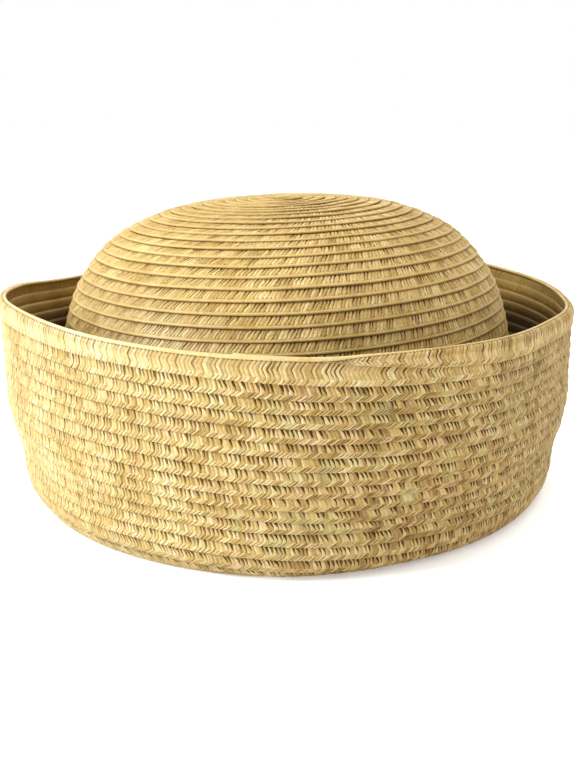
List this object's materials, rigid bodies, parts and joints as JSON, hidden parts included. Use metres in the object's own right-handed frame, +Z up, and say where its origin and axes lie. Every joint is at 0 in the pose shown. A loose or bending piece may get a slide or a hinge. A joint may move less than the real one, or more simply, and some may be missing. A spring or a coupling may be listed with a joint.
{
  "type": "straw hat with turned-up brim",
  "caption": "Soft sewn-braid straw hat: oval domed crown in a wide cuff-like brim folded straight up all round, with a thin rounded last braid at the rim.",
  "frame": {"origin": "on the surface that the hat rests on, under the middle of its outline seen from above", "axes": "+Z up out of the crown's top, the front of the hat faces -Y, +X to the wearer's left and to the viewer's right, the long way of the head runs along Y"},
  "size_m": [0.2214, 0.2494, 0.1103],
  "materials": {
    "crown_straw": "fine flat braid of natural straw in lapped rows with a smooth rolled lower edge, matt with a soft sheen",
    "brim_straw": "herringbone straw braid in lapped rows, uneven pale yellow, cream and tan strands, matt with a soft sheen",
    "rim_straw": "last turn of the same braid, rounded over the rim, matt with a soft sheen"
  },
  "bodies": {
    "root": {"crown": "crown_straw", "brim": "brim_straw", "rim_braid": "rim_straw"}
  },
  "joints": []
}
